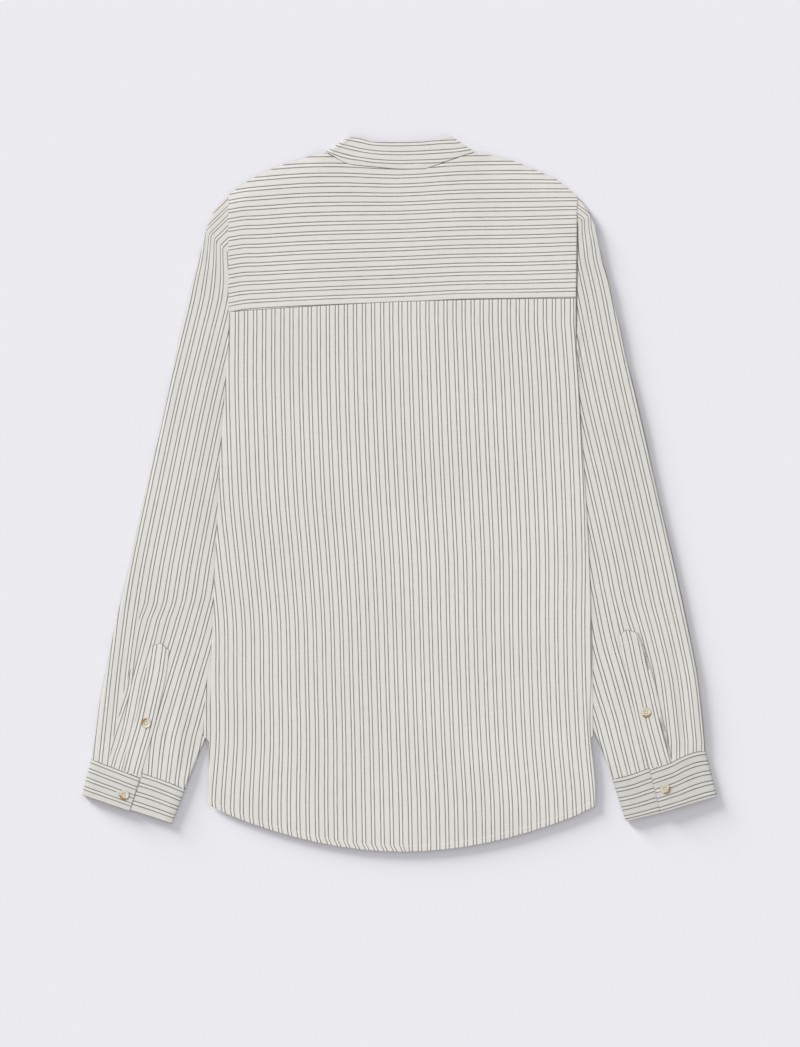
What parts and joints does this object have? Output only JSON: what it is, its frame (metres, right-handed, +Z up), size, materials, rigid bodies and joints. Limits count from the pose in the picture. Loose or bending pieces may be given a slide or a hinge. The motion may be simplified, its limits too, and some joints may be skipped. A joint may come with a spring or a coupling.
{
  "type": "mandarin collar shirt",
  "caption": "Long-sleeved striped shirt with a band collar, laid flat with its back up: yoke, curved hem, tube sleeves, buttoned cuffs and pointed sleeve plackets.",
  "frame": {"origin": "on the surface that the shirt lies on, below the middle of its outline", "axes": "+Y towards the collar, +Z up out of the shirt's back, -X towards the wearer's left sleeve"},
  "size_m": [0.7114, 0.802, 0.0093],
  "materials": {
    "shirting": "off-white cotton with fine grey double pinstripes, matt",
    "buttons": "cream horn-like, satin"
  },
  "bodies": {
    "root": {"back": "shirting", "yoke": "shirting", "front_left": "shirting", "front_right": "shirting", "front_placket": "shirting", "collar": "shirting", "sleeve_left": "shirting", "sleeve_right": "shirting", "cuff_left": "shirting", "cuff_right": "shirting", "placket_left": "shirting", "placket_right": "shirting", "button_cuff_left": "buttons", "button_cuff_right": "buttons", "button_placket_left": "buttons", "button_placket_right": "buttons", "button_front_1": "buttons", "button_front_2": "buttons", "button_front_3": "buttons", "button_front_4": "buttons", "button_front_5": "buttons", "button_front_6": "buttons", "button_front_7": "buttons"}
  },
  "joints": []
}
